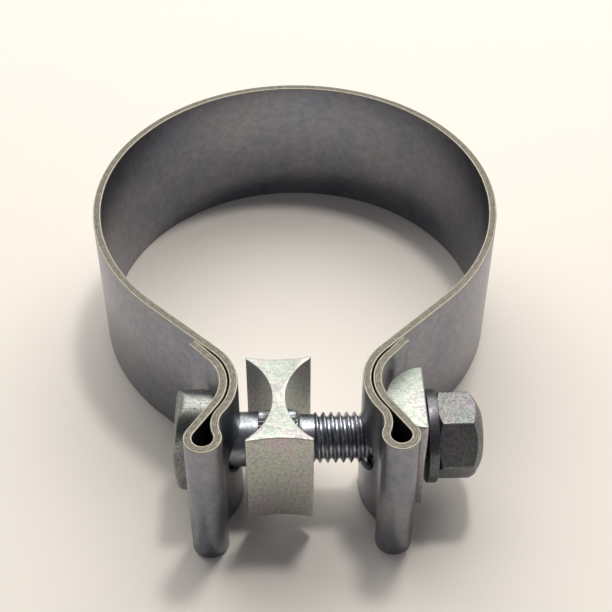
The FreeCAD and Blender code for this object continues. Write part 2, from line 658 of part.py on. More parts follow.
band_left = band_half("band_left")
band_right = band_half("band_right")
band_right.Placement = FreeCAD.Placement(FreeCAD.Vector(), FreeCAD.Rotation(FreeCAD.Vector(0, 1, 0), 180))
subparts = [band_left, band_right, tee_bolt(), reaction_block(), half_round_bar(), washer(), hex_nut()]
doc.recompute()

for item in doc.Objects:
    if "Invalid" in item.State or "Error" in item.State:
        raise RuntimeError(f"{item.Label} has failed: {item.State}")
for item in doc.findObjects("Sketcher::SketchObject"):
    if item.solve() != 0:
        raise RuntimeError(f"{item.Label} does not solve")
for item in subparts:
    if item.Shape.isNull() or not item.Shape.isValid() or len(item.Shape.Solids) != 1:
        raise RuntimeError(f"{item.Label} is not one valid solid")

os.makedirs("parts", exist_ok=True)
for item in subparts:
    item.Shape.exportStep(f"parts/{item.Label}.step")
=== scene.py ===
import math

import bmesh
import bpy
from mathutils import Matrix, Vector
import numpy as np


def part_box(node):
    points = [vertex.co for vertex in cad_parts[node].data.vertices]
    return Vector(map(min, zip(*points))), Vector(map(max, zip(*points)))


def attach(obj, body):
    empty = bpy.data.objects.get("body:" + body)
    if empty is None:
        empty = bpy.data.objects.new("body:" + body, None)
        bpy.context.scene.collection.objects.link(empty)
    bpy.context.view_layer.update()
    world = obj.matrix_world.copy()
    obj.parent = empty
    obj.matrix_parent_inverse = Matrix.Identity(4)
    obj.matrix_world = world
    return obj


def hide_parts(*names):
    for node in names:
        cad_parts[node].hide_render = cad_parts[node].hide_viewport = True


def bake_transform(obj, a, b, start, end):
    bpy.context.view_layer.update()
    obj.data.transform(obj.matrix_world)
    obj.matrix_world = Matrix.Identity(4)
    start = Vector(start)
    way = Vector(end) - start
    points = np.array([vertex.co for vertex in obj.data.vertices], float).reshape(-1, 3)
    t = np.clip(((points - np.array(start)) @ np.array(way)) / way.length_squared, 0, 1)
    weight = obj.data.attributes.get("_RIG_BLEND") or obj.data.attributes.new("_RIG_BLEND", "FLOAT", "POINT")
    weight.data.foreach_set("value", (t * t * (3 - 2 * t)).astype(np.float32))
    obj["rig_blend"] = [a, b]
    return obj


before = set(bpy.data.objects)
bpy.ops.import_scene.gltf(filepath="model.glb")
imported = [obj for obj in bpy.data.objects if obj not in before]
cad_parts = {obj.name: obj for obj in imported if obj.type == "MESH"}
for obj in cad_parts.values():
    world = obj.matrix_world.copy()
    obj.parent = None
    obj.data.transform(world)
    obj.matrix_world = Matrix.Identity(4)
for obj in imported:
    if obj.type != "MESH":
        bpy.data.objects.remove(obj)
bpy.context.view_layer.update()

# Single-bolt band clamp.  The shapes are drawn in millimetres and scaled to metres as each piece is
# made.  The pipe runs along Z, the bolt along X, and the bolt lies on the -Y side of the pipe.

MM = 0.001

# band strip and its lugs, as in the CAD model
STRIP = 1.6
BORE = 41.3
HAUNCH_EXTRA = 2.6
HAUNCH_DROP = 7.3
LUG_HALF_SPAN = 23.6
LUG_STAND_OFF = 11.1
FOLD_GAP = 0.35
EYELET_INSET = 6.0
EYELET_DROP = 13.15
EYELET_RADIUS = 3.5
NECK_RADIUS = 4.6
SEAT_RADIUS = 8.55
TAIL_LENGTH = 5.0
SLOT_HEIGHT = 11.25
SLOT_LENGTH = 14.0
SLOT_CUT = 30.0        # how deep the slot's cutter is, through both layers and the crest of the shoulder
SLIT_CORNER = 0.2      # radius on the strip's slit corners
SLIT_DEPTH = 0.25      # faces this near the strip's edge take the slit finish
BACK_BLEND = 6.0       # the back bends over this length on each side of its middle

# the folded layer steps in by most of the gap just before its welded end
JOGGLE_DEPTH = 0.3
JOGGLE_RADIUS = 6.0
JOGGLE_TURN = 5.0

# bolt and what sits on it
BEARING_RADIUS = 7.7
HEAD_WIDTH = 13.0
HEAD_CROWN = 1.6
HEAD_CORNER = 2.6
HEAD_CUBE = 0.24       # the forged head's skin is rebuilt in cubes of this size
HEAD_SMOOTHING = 20
SHANK_RADIUS = 5.27
KNURL_RADIUS = 5.46
KNURL_VALLEY = 5.18
KNURL_RIDGES = 36
KNURL_RUN_IN = 0.35
RELIEF_RADIUS = 4.6
THREAD_RADIUS = 4.92
THREAD_ROOT = 4.07
THREAD_PITCH = 1.5
KNURL_TO_HEAD = 15.5
KNURL_LENGTH = 7.5
RELIEF_LENGTH = 2.6
BLOCK_WAIST = 2.5
BLOCK_HOLLOW_RADIUS = 12.2
BLOCK_DISH = 0.8
BLOCK_BORE = 5.53
BLOCK_EDGE = 0.22
BAR_BORE = 5.22
BAR_EDGE = 0.3
NUT_CORNER = 15.0 / math.sqrt(3)
NUT_CORNER_EDGE = 0.3
NUT_EDGE = 0.12
NUT_BORE = 4.97
NUT_CLOCKING = 55.6
NUT_DOME = 13.0

# how finely round shapes are drawn, and how far apart two points still count as one
ARC_FEWEST = 6
ARC_DEGREES = 4
ARC_LENGTH = 0.8
RING_STEPS = 96
WASHER_STEPS = 128
NUT_STEPS = 144
THREAD_STEPS = 72
DOME_STEPS = 16
SHARP_ANGLE = 30
SAME_POINT = 0.001
NEAR_POINT = 0.01
PAST = 2               # a bore's cutter reaches this far past the piece

# floor, room and camera
FLOOR_HALF = 2500
ROOM_LIGHT = 0.8
ROOM_LEAN = 0.35
SENSOR_WIDTH = 36
LENS = 74.43
CAMERA_PLACE = (-3.329, -209.82, 187.974)
CAMERA_ELEVATION = 44.166
CAMERA_ROLL = 0.149
CAMERA_YAW = 1.569

UP = Vector((0, 0, 1))
ALONG_BOLT = Vector((1, 0, 0))


def box_mm(node):
    """A CAD node's low and high corners in millimetres."""
    low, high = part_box(node)
    return low / MM, high / MM


BAND_LOW, BAND_HIGH = box_mm("band_left")
BOLT_LOW, BOLT_HIGH = box_mm("tee_bolt")
BLOCK_LOW, BLOCK_HIGH = box_mm("reaction_block")
BAR_LOW, BAR_HIGH = box_mm("half_round_bar")
WASHER_LOW, WASHER_HIGH = box_mm("washer")
NUT_LOW, NUT_HIGH = box_mm("hex_nut")
BOLT_Y = (WASHER_LOW.y + WASHER_HIGH.y) / 2
HEAD_X = -LUG_HALF_SPAN
SEAT_Y = -BORE - LUG_STAND_OFF


# ---------------------------------------------------------------- drawing and joining

def towards(degrees):
    """Unit vector in the XY plane at an angle from X."""
    return Vector((math.cos(math.radians(degrees)), math.sin(math.radians(degrees)), 0))


def angle_of(vector):
    return math.degrees(math.atan2(vector.y, vector.x))


def verts_of(geometry):
    return [g for g in geometry if isinstance(g, bmesh.types.BMVert)]


def edges_of(geometry):
    return [g for g in geometry if isinstance(g, bmesh.types.BMEdge)]


def draw_outline(bm, start, stretches):
    """A flat closed face in the XY plane: ("to", point) is a line and ("round", centre, degrees) an arc."""
    last = bm.verts.new(start)
    for kind, where, *turn in stretches:
        if kind == "to":
            last = bmesh.ops.extrude_vert_indiv(bm, verts=[last])["verts"][0]
            last.co = where
        else:
            sweep = math.radians(abs(turn[0]))
            length = sweep * (Vector(where) - last.co).length
            steps = max(ARC_FEWEST, round(abs(turn[0]) / ARC_DEGREES), round(length / ARC_LENGTH))
            spun = bmesh.ops.spin(bm, geom=[last], cent=where, axis=UP, angle=math.radians(turn[0]),
                                  steps=steps, use_duplicate=False)
            last = verts_of(spun["geom_last"])[0]
    bmesh.ops.remove_doubles(bm, verts=bm.verts, dist=NEAR_POINT)
    return bmesh.ops.contextual_create(bm, geom=list(bm.edges))["faces"][0]


def extruded(start, stretches, height):
    """A solid with that outline, standing along Z about the XY plane."""
    bm = bmesh.new()
    face = draw_outline(bm, start, stretches)
    bmesh.ops.translate(bm, verts=bm.verts, vec=-UP * height / 2)
    risen = bmesh.ops.extrude_face_region(bm, geom=[face], use_keep_orig=True)["geom"]
    bmesh.ops.translate(bm, verts=verts_of(risen), vec=UP * height)
    bmesh.ops.recalc_face_normals(bm, faces=bm.faces)
    return bm


def turned(profile, steps):
    """A closed solid turned about X from (x, radius) points; ends on the axis close by themselves."""
    bm = bmesh.new()
    last = bm.verts.new((profile[0][0], profile[0][1], 0))
    for x, radius in profile[1:]:
        last = bmesh.ops.extrude_vert_indiv(bm, verts=[last])["verts"][0]
        last.co = (x, radius, 0)
    bmesh.ops.spin(bm, geom=list(bm.verts) + list(bm.edges), cent=(0, 0, 0), axis=ALONG_BOLT,
                   angle=2 * math.pi, steps=steps, use_merge=True, use_duplicate=False)
    bmesh.ops.remove_doubles(bm, verts=bm.verts, dist=SAME_POINT)
    bmesh.ops.recalc_face_normals(bm, faces=bm.faces)
    return bm


def soften(bm, width):
    """Rounds every sharp edge."""
    sharp = [e for e in bm.edges if len(e.link_faces) == 2
             and e.calc_face_angle() > math.radians(SHARP_ANGLE)]
    bmesh.ops.bevel(bm, geom=sharp, offset=width, offset_type="OFFSET", affect="EDGES", segments=3,
                    profile=0.5, material=-1, clamp_overlap=True)


def sawn_ends(bm):
    """Gives the faces that look up or down the second finish."""
    for face in bm.faces:
        if abs(face.normal.z) > 0.95:
            face.material_index = 1


def to_object(name, bm, *materials, smooth_below=SHARP_ANGLE, move=None):
    """Makes the drawn mesh a piece, in metres, shaded smooth but for its sharp edges."""
    if move is not None:
        bmesh.ops.translate(bm, verts=bm.verts, vec=move)
    bmesh.ops.scale(bm, verts=bm.verts, vec=(MM, MM, MM))
    mesh = bpy.data.meshes.new(name)
    bm.to_mesh(mesh)
    bm.free()
    for material in materials:
        mesh.materials.append(material)
    shade(mesh, smooth_below)
    piece = bpy.data.objects.new(name, mesh)
    bpy.context.scene.collection.objects.link(piece)
    return piece


def shade(mesh, smooth_below):
    for polygon in mesh.polygons:
        polygon.use_smooth = True
    mesh.set_sharp_from_angle(angle=math.radians(smooth_below))


def settle(piece, smooth_below=SHARP_ANGLE):
    """Works a piece's modifiers into its mesh."""
    seen = piece.evaluated_get(bpy.context.evaluated_depsgraph_get())
    mesh = bpy.data.meshes.new_from_object(seen)
    piece.modifiers.clear()
    old = piece.data
    piece.data = mesh
    bpy.data.meshes.remove(old)
    shade(mesh, smooth_below)


def cut(piece, operation, *tools):
    """Cuts a piece with other solids, or keeps only what they share, and removes those solids."""
    for tool in tools:
        step = piece.modifiers.new(tool.name, "BOOLEAN")
        step.operation = operation
        step.solver = "EXACT"
        step.object = tool
    settle(piece)
    for tool in tools:
        bpy.data.objects.remove(tool)


def bore(piece, radius, low, high):
    """Cuts a round hole along the bolt's axis, right through a piece with those corners."""
    bm = turned([(low.x - PAST, 0), (low.x - PAST, radius), (high.x + PAST, radius), (high.x + PAST, 0)],
                RING_STEPS)
    cut(piece, "DIFFERENCE", to_object("tool", bm, move=Vector((0, BOLT_Y, 0))))


def round_edges(piece, width, sharper_than):
    """A small even radius on the sharp edges of a cut piece."""
    bevel = piece.modifiers.new("worn_edges", "BEVEL")
    bevel.width = width * MM
    bevel.segments = 2
    bevel.limit_method = "ANGLE"
    bevel.angle_limit = math.radians(sharper_than)
    bevel.use_clamp_overlap = True
    bevel.miter_outer = "MITER_ARC"


# ---------------------------------------------------------------- finishes

def linear(hex_colour):
    """An sRGB hex colour as linear RGBA."""
    channels = [int(hex_colour[i:i + 2], 16) / 255 for i in (1, 3, 5)]
    return tuple(c / 12.92 if c <= 0.04045 else ((c + 0.055) / 1.055) ** 2.4 for c in channels) + (1.0,)


def node(tree, kind, inputs=None, stops=None, **settings):
    """Adds a shader node with its settings, and fills its sockets with values or other outputs."""
    made = tree.nodes.new("ShaderNode" + kind)
    for name, value in settings.items():
        setattr(made, name, value)
    for name, value in (inputs or {}).items():
        if isinstance(value, bpy.types.NodeSocket):
            tree.links.new(value, made.inputs[name])
        else:
            made.inputs[name].default_value = value
    if stops:
        ramp = made.color_ramp
        while len(ramp.elements) < len(stops):
            ramp.elements.new(0.5)
        for element, (position, colour) in zip(ramp.elements, stops):
            element.position = position
            element.color = linear(colour)
    return made


def finish(name, **sockets):
    """A new material with its principled shader, its node tree and its object coordinates."""
    material = bpy.data.materials.new(name)
    material.use_nodes = True
    tree = material.node_tree
    shader = tree.nodes["Principled BSDF"]
    for socket, value in sockets.items():
        shader.inputs[socket.replace("_", " ")].default_value = value
    place = node(tree, "TexCoord").outputs["Object"]
    return material, tree, shader, place


def per_metre(size_mm):
    """A texture scale whose features are about that size."""
    return 1 / (size_mm * MM)


def strip_finish():
    """Coated cold-rolled steel strip: satin grey, with cloudy stains, a fine mottle and faint rolling lines.

    The rolling lines are drawn 0.35 mm apart and the grain 0.5 mm, coarser than real ones, so that they show.
    """
    material, tree, shader, place = finish("coated_steel_strip", Metallic=1.0, Roughness=0.45)
    flow = node(tree, "UVMap", uv_map="strip").outputs["UV"]
    lines = node(tree, "Mapping", {"Vector": flow, "Scale": (per_metre(40), per_metre(0.35), 1)})
    rolled = node(tree, "TexNoise", {"Vector": lines.outputs["Vector"], "Scale": 1.0, "Detail": 3.0,
                                     "Roughness": 0.6})
    clouds = node(tree, "TexNoise", {"Vector": place, "Scale": per_metre(16), "Detail": 3.0,
                                     "Roughness": 0.55, "Distortion": 0.6})
    grain = node(tree, "TexNoise", {"Vector": place, "Scale": per_metre(0.5), "Detail": 2.0})
    blotch = node(tree, "TexNoise", {"Vector": place, "Scale": per_metre(1.6), "Detail": 4.0,
                                     "Roughness": 0.6})
    stain = node(tree, "ValToRGB", {"Fac": clouds.outputs["Fac"]},
                 stops=[(0.32, "#868a94"), (0.5, "#93949b"), (0.68, "#9e9ca0")])
    mottle = node(tree, "ValToRGB", {"Fac": blotch.outputs["Fac"]},
                  stops=[(0.32, "#e3e4e8"), (0.66, "#ffffff")])
    tone = node(tree, "Mix", {"Factor": 1.0, "A": stain.outputs["Color"], "B": mottle.outputs["Color"]},
                data_type="RGBA", blend_type="MULTIPLY")
    tree.links.new(tone.outputs["Result"], shader.inputs["Base Color"])
    rough = node(tree, "MapRange", {"Value": clouds.outputs["Fac"], "From Min": 0.3, "From Max": 0.7,
                                    "To Min": 0.27, "To Max": 0.36})
    tree.links.new(rough.outputs["Result"], shader.inputs["Roughness"])
    rolled_bump = node(tree, "Bump", {"Height": rolled.outputs["Fac"], "Strength": 0.25,
                                      "Distance": 0.02 * MM})
    grain_bump = node(tree, "Bump", {"Height": grain.outputs["Fac"], "Strength": 0.3,
                                     "Distance": 0.02 * MM, "Normal": rolled_bump.outputs["Normal"]})
    tree.links.new(grain_bump.outputs["Normal"], shader.inputs["Normal"])
    return material


def sheared_finish():
    """The strip's slit edges: duller than its faces and streaked, with a thin bright burr and painted
    highlight along both rims.
    """
    material, tree, shader, _ = finish("sheared_strip_edge", Metallic=1.0, Roughness=0.6)
    flow = node(tree, "UVMap", uv_map="strip").outputs["UV"]
    lines = node(tree, "Mapping", {"Vector": flow, "Scale": (per_metre(1.1), per_metre(0.25), 1)})
    streaks = node(tree, "TexNoise", {"Vector": lines.outputs["Vector"], "Scale": 1.0, "Detail": 4.0,
                                      "Roughness": 0.7})
    tone = node(tree, "ValToRGB", {"Fac": streaks.outputs["Fac"]},
                stops=[(0.28, "#52504b"), (0.5, "#6b6963"), (0.74, "#9a988e")])
    across = node(tree, "SeparateXYZ", {"Vector": flow})
    height = node(tree, "Math", {0: across.outputs["Y"]}, operation="ABSOLUTE")
    depth = node(tree, "Math", {0: height.outputs["Value"], 1: BAND_HIGH.z * MM}, operation="SUBTRACT")
    rim = node(tree, "Math", {0: depth.outputs["Value"]}, operation="ABSOLUTE")
    # painted highlight: both rims of the slit edge take a bright warm colour, which stands for a burr and for
    # the light that the eased corners catch
    burr_and_highlight = node(tree, "MapRange", {"Value": rim.outputs["Value"], "From Min": 0.5 * MM,
                                   "From Max": 0.66 * MM, "To Min": 0.0, "To Max": 0.75})
    burr_and_highlight_tone = node(tree, "Mix", {"Factor": burr_and_highlight.outputs["Result"], "A": tone.outputs["Color"],
                              "B": linear("#c9c5b4")}, data_type="RGBA")
    tree.links.new(burr_and_highlight_tone.outputs["Result"], shader.inputs["Base Color"])
    rough = node(tree, "MapRange", {"Value": streaks.outputs["Fac"], "To Min": 0.66, "To Max": 0.52})
    tree.links.new(rough.outputs["Result"], shader.inputs["Roughness"])
    bump = node(tree, "Bump", {"Height": streaks.outputs["Fac"], "Strength": 0.5, "Distance": 0.05 * MM})
    tree.links.new(bump.outputs["Normal"], shader.inputs["Normal"])
    return material


def zinc_finish(name, tints, speck="#6f776f", speck_size=0.45, cloud_size=7.0, roughness=0.34,
                speck_share=0.35, relief=0.06):
    """Clear zinc plate on steel: bright, pitted with soft specks, with a faint rainbow film.

    The specks are drawn 0.3 to 0.55 mm in size, coarser than the plate's own grain, so that they show.
    """
    material, tree, shader, place = finish(name, Metallic=1.0, Roughness=roughness)
    clouds = node(tree, "TexNoise", {"Vector": place, "Scale": per_metre(cloud_size), "Detail": 2.0,
                                     "Distortion": 0.8})
    film = node(tree, "ValToRGB", {"Fac": clouds.outputs["Fac"]},
                stops=[(0.34 + 0.32 * i / (len(tints) - 1), tint) for i, tint in enumerate(tints)])
    pits = node(tree, "TexNoise", {"Vector": place, "Scale": per_metre(speck_size), "Detail": 4.0,
                                   "Roughness": 0.65})
    mask = node(tree, "MapRange", {"Value": pits.outputs["Fac"], "From Min": 0.44, "From Max": 0.68,
                                   "To Min": 0.0, "To Max": 2 * speck_share})
    tone = node(tree, "Mix", {"Factor": mask.outputs["Result"], "A": film.outputs["Color"],
                              "B": linear(speck)}, data_type="RGBA")
    tree.links.new(tone.outputs["Result"], shader.inputs["Base Color"])
    rough = node(tree, "MapRange", {"Value": pits.outputs["Fac"], "From Min": 0.3, "From Max": 0.7,
                                    "To Min": roughness - 0.05, "To Max": roughness + 0.12})
    tree.links.new(rough.outputs["Result"], shader.inputs["Roughness"])
    bump = node(tree, "Bump", {"Height": pits.outputs["Fac"], "Strength": 0.6, "Distance": relief * MM})
    tree.links.new(bump.outputs["Normal"], shader.inputs["Normal"])
    return material, tree, shader, place


def sawn_finish(name, tints):
    """A sawn and plated end: bright, with saw lines wandering along the bolt's direction and a faint tint.

    The lines are drawn 0.22 mm apart, the finest that shows.
    """
    material, tree, shader, place = zinc_finish(name, tints, speck="#7e877e", speck_size=0.5,
                                                cloud_size=5.0, roughness=0.42, speck_share=0.3)
    drawn = node(tree, "Mapping", {"Vector": place, "Scale": (per_metre(2.4), per_metre(0.22), 1)})
    saw = node(tree, "TexNoise", {"Vector": drawn.outputs["Vector"], "Scale": 1.0, "Detail": 3.0,
                                  "Roughness": 0.6, "Distortion": 0.4})
    lines = node(tree, "MapRange", {"Value": saw.outputs["Fac"], "From Min": 0.5, "From Max": 0.72,
                                    "To Min": 0.0, "To Max": 0.75})
    plate = shader.inputs["Base Color"].links[0].from_socket
    tone = node(tree, "Mix", {"Factor": lines.outputs["Result"], "A": plate, "B": linear("#6f7a74")},
                data_type="RGBA")
    tree.links.new(tone.outputs["Result"], shader.inputs["Base Color"])
    under = shader.inputs["Normal"].links[0].from_socket
    bump = node(tree, "Bump", {"Height": saw.outputs["Fac"], "Strength": 0.5, "Distance": 0.06 * MM,
                               "Normal": under})
    tree.links.new(bump.outputs["Normal"], shader.inputs["Normal"])
    return material


STRIP_FACE = strip_finish()
STRIP_EDGE = sheared_finish()
# forged, then plated: grey and the most closely specked
HEAD_ZINC = zinc_finish("zinc_forged_head", ["#858985", "#9da09c", "#8b9092"], speck="#464a4a",
                        speck_size=0.4, speck_share=0.4)[0]
# drawn smooth: cooler, with tighter highlights
SHANK_ZINC = zinc_finish("zinc_drawn_shank", ["#88909c", "#a8adb4", "#9598a0"], speck="#565b65",
                         roughness=0.3, relief=0.03)[0]
# rolled flanks: the shiniest of all, bright on the crests and dark in the grooves
THREAD_ZINC = zinc_finish("zinc_rolled_thread", ["#8b919d", "#b7bbc3", "#a0a3ad"], speck="#555962",
                          speck_size=0.3, roughness=0.26, relief=0.02)[0]
# drawn section: pale, with broad faint pink and green patches
BLOCK_ZINC = zinc_finish("zinc_drawn_block", ["#d6c8cf", "#d4d3cc", "#ccd4c8", "#d4cdd1"],
                         speck="#98a092", speck_size=0.55, cloud_size=10.0, roughness=0.46)[0]
# drawn bar: pale and even, a touch warmer
BAR_ZINC = zinc_finish("zinc_drawn_bar", ["#cbc1c7", "#d0cacd", "#c7c4c5"], speck="#989597",
                       cloud_size=8.0, roughness=0.42)[0]
SAWN_ZINC = sawn_finish("zinc_sawn_end", ["#a9a3a8", "#adb0ad", "#a3ada6", "#abaaa9"])
# punched sheet: the darkest of the plated pieces
WASHER_ZINC = zinc_finish("zinc_punched_washer", ["#64656e", "#76777c", "#686d74"], speck="#3d4046",
                          roughness=0.36)[0]
# pressed cold: dull, with dark specks
NUT_ZINC = zinc_finish("zinc_pressed_nut", ["#8b8791", "#91918f", "#848a8b"], speck="#48484f",
                       speck_size=0.4, roughness=0.5, speck_share=0.4)[0]


# ---------------------------------------------------------------- band

def half_path():
    """Bends (radius to the middle of the strip, degrees) and straights (0, length) of half the band."""
    haunch = BORE + HAUNCH_EXTRA
    shoulder = SEAT_RADIUS + 2 * STRIP + FOLD_GAP
    middle = STRIP / 2
    seat = Vector((-LUG_HALF_SPAN, SEAT_Y, 0))
    eyelet = seat + Vector((EYELET_INSET, -EYELET_DROP, 0))
    haunch_angle = 180 + math.degrees(math.asin(HAUNCH_DROP / BORE))
    haunch_centre = towards(haunch_angle) * (BORE - haunch)
    reach = seat - haunch_centre
    flank_angle = angle_of(reach) % 360 - math.degrees(math.acos((haunch + shoulder) / reach.length))
    flank = math.sqrt(reach.length**2 - (haunch + shoulder)**2)
    fall = eyelet - seat
    long_side, short_side = shoulder + NECK_RADIUS, EYELET_RADIUS + NECK_RADIUS
    cosine = (long_side**2 + fall.length**2 - short_side**2) / (2 * long_side * fall.length)
    neck_angle = angle_of(fall) + math.degrees(math.acos(cosine))
    neck_centre = seat + towards(neck_angle) * long_side
    eyelet_angle = angle_of(neck_centre - eyelet)
    return_angle = angle_of(fall) + math.degrees(math.acos((SEAT_RADIUS + EYELET_RADIUS) / fall.length))
    back = math.sqrt(fall.length**2 - (SEAT_RADIUS + EYELET_RADIUS)**2)
    step = JOGGLE_DEPTH - 2 * JOGGLE_RADIUS * (1 - math.cos(math.radians(JOGGLE_TURN)))
    ramp = step / math.sin(math.radians(JOGGLE_TURN))
    bent = 2 * JOGGLE_RADIUS * math.radians(JOGGLE_TURN)
    return [
        (BORE + middle, haunch_angle - 90),
        (haunch + middle, flank_angle - haunch_angle),
        (0, flank),
        (shoulder - middle, -((flank_angle - 180 - neck_angle) % 360)),
        (NECK_RADIUS + middle, (eyelet_angle - neck_angle) % 360),
        (EYELET_RADIUS - middle, -((eyelet_angle - return_angle - 180) % 360)),
        (0, back),
        (SEAT_RADIUS + middle, (flank_angle - 180 - return_angle) % 360),
        (JOGGLE_RADIUS, -JOGGLE_TURN),
        (0, ramp),
        (JOGGLE_RADIUS, JOGGLE_TURN),
        (0, TAIL_LENGTH - ramp - bent),
    ]


def strip_section(bm):
    """The strip's cross-section at the middle of the back: square, with its slit corners eased."""
    middle = Vector((0, BORE + STRIP / 2, 0))
    width = BAND_HIGH.z - BAND_LOW.z
    bmesh.ops.create_grid(bm, x_segments=1, y_segments=1, size=0.5)
    turn = Matrix.Rotation(math.radians(90), 3, "Y")
    bmesh.ops.rotate(bm, verts=bm.verts, cent=(0, 0, 0), matrix=turn)
    bmesh.ops.scale(bm, verts=bm.verts, vec=(1, STRIP, width))
    bmesh.ops.translate(bm, verts=bm.verts, vec=middle)
    bmesh.ops.bevel(bm, geom=list(bm.verts), offset=SLIT_CORNER, affect="VERTICES", segments=3,
                    profile=0.5, material=-1)
    bmesh.ops.delete(bm, geom=list(bm.faces), context="FACES_ONLY")
    return list(bm.verts) + list(bm.edges)


def draw_strip(bm, section, side):
    """Sweeps the section along one half of the band, and notes how far along the strip each point is."""
    run = bm.verts.layers.float["run"]
    depth = bm.verts.layers.float["depth"]
    here = Vector((0, BORE + STRIP / 2, 0))
    heading = Vector((-side, 0, 0))
    last = section
    gone = 0.0
    for radius, amount in half_path():
        turn = math.radians(amount) * side if radius else 0
        steps = max(2, round(abs(amount) / (1.0 if radius > 20 else 5.0))) if radius else 2
        length = abs(radius * turn) if radius else amount
        left = Vector((-heading.y, heading.x, 0))
        centre = here + left * radius * math.copysign(1, turn)
        for _ in range(steps):
            gone += length / steps
            if radius:
                made = bmesh.ops.spin(bm, geom=last, cent=centre, axis=UP, angle=turn / steps, steps=1,
                                      use_duplicate=False)["geom_last"]
                step = Matrix.Rotation(turn / steps, 3, "Z")
                here = centre + step @ (here - centre)
                heading = step @ heading
            else:
                made = bmesh.ops.extrude_edge_only(bm, edges=edges_of(last))["geom"]
                bmesh.ops.translate(bm, verts=verts_of(made), vec=heading * length / steps)
                here = here + heading * length / steps
            left = Vector((-heading.y, heading.x, 0))
            last = verts_of(made) + boundary_loop(made)
            for vert in verts_of(made):
                vert[run] = gone * side
                vert[depth] = (vert.co - here).dot(left) * side
    bmesh.ops.contextual_create(bm, geom=boundary_loop(last))


def boundary_loop(geometry):
    """The open edges among those just made."""
    own = set(verts_of(geometry))
    return [e for e in {e for v in own for e in v.link_edges}
            if e.verts[0] in own and e.verts[1] in own and len(e.link_faces) < 2]


def band():
    """One strip of steel: ring, S-shaped shoulders, eyelets, and the layers folded back and welded."""
    bm = bmesh.new()
    run = bm.verts.layers.float.new("run")
    depth = bm.verts.layers.float.new("depth")
    flow = bm.loops.layers.uv.new("strip")
    section = strip_section(bm)
    for vert in bm.verts:
        vert[depth] = BORE + STRIP / 2 - vert.co.y
    for side in (1, -1):
        draw_strip(bm, section, side)
    for face in bm.faces:
        for loop in face.loops:
            loop[flow].uv = (loop.vert[run] * MM, (loop.vert.co.z + loop.vert[depth]) * MM)
        if abs(face.calc_center_median().z) > BAND_HIGH.z - SLIT_DEPTH:
            face.material_index = 1
    bmesh.ops.recalc_face_normals(bm, faces=bm.faces)
    piece = to_object("band", bm, STRIP_FACE, STRIP_EDGE)
    round_end = SLOT_HEIGHT / 2
    straight = SLOT_LENGTH - SLOT_HEIGHT
    for side in (1, -1):
        # the slot's oblong runs along Y and is cut along X through both layers
        bm = extruded((-round_end, -straight / 2, 0),
                      [("round", (0, -straight / 2, 0), 180), ("to", (round_end, straight / 2, 0)),
                       ("round", (0, straight / 2, 0), 180), ("to", (-round_end, -straight / 2, 0))],
                      SLOT_CUT)
        bmesh.ops.rotate(bm, verts=bm.verts, cent=(0, 0, 0), matrix=Matrix.Rotation(math.pi / 2, 3, "Y"))
        cutter = to_object("slot_cutter", bm, move=Vector((-side * LUG_HALF_SPAN, SEAT_Y, 0)))
        cut(piece, "DIFFERENCE", cutter)
    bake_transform(piece, "band_left_half", "band_right_half", start=(-BACK_BLEND * MM, BORE * MM, 0),
             end=(BACK_BLEND * MM, BORE * MM, 0))
    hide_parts("band_left", "band_right")


# ---------------------------------------------------------------- bolt

def bolt_head():
    """The forged cross head: half round towards the lug, oblong, its outer face crowned."""
    height = BOLT_HIGH.z - BOLT_LOW.z
    back = BOLT_LOW.x - HEAD_X
    bm = extruded((0, -BEARING_RADIUS, 0),
                  [("round", (0, 0, 0), 180), ("to", (-BEARING_RADIUS, BEARING_RADIUS, 0)),
                   ("to", (-BEARING_RADIUS, -BEARING_RADIUS, 0)), ("to", (0, -BEARING_RADIUS, 0))], height)
    piece = to_object("tee_head", bm)
    half_width = HEAD_WIDTH / 2
    straight = height - HEAD_WIDTH
    bm = extruded((half_width, -straight / 2, 0),
                  [("to", (half_width, straight / 2, 0)), ("round", (0, straight / 2, 0), 180),
                   ("to", (-half_width, -straight / 2, 0)), ("round", (0, -straight / 2, 0), 180)],
                  4 * BEARING_RADIUS)
    bmesh.ops.rotate(bm, verts=bm.verts, cent=(0, 0, 0),
                     matrix=Matrix(((0, 0, 1), (1, 0, 0), (0, 1, 0))))
    oblong = to_object("oblong", bm)
    crown = ((height / 2)**2 + HEAD_CROWN**2) / (2 * HEAD_CROWN)
    inner = crown - HEAD_CORNER
    reach = height / 2 - HEAD_CORNER
    corner_x = back + crown - math.sqrt(inner**2 - reach**2)
    crown_turn = 2 * math.degrees(math.asin(reach / inner))
    corner_turn = 90 - crown_turn / 2
    past_seat = BEARING_RADIUS + PAST
    bm = extruded((corner_x, height / 2, 0),
                  [("round", (corner_x, reach, 0), corner_turn), ("round", (back + crown, 0, 0), crown_turn),
                   ("round", (corner_x, -reach, 0), corner_turn), ("to", (past_seat, -height / 2, 0)),
                   ("to", (past_seat, height / 2, 0)), ("to", (corner_x, height / 2, 0))],
                  2 * height)
    bmesh.ops.rotate(bm, verts=bm.verts, cent=(0, 0, 0), matrix=Matrix.Rotation(math.pi / 2, 3, "X"))
    crowned = to_object("crowned", bm)
    cut(piece, "INTERSECT", oblong, crowned)
    piece.data.transform(Matrix.Translation(Vector((HEAD_X, BOLT_Y, 0)) * MM))
    piece.data.materials.clear()
    piece.data.materials.append(HEAD_ZINC)
    # forged corners are soft: the head is rebuilt in small cubes and smoothed
    skin = piece.modifiers.new("forged_skin", "REMESH")
    skin.mode = "VOXEL"
    skin.voxel_size = HEAD_CUBE * MM
    skin.use_smooth_shade = True
    ease = piece.modifiers.new("forged_corners", "SMOOTH")
    ease.factor = 0.5
    ease.iterations = HEAD_SMOOTHING
    settle(piece, 60)
    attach(piece, "bolt")
    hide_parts("tee_bolt")


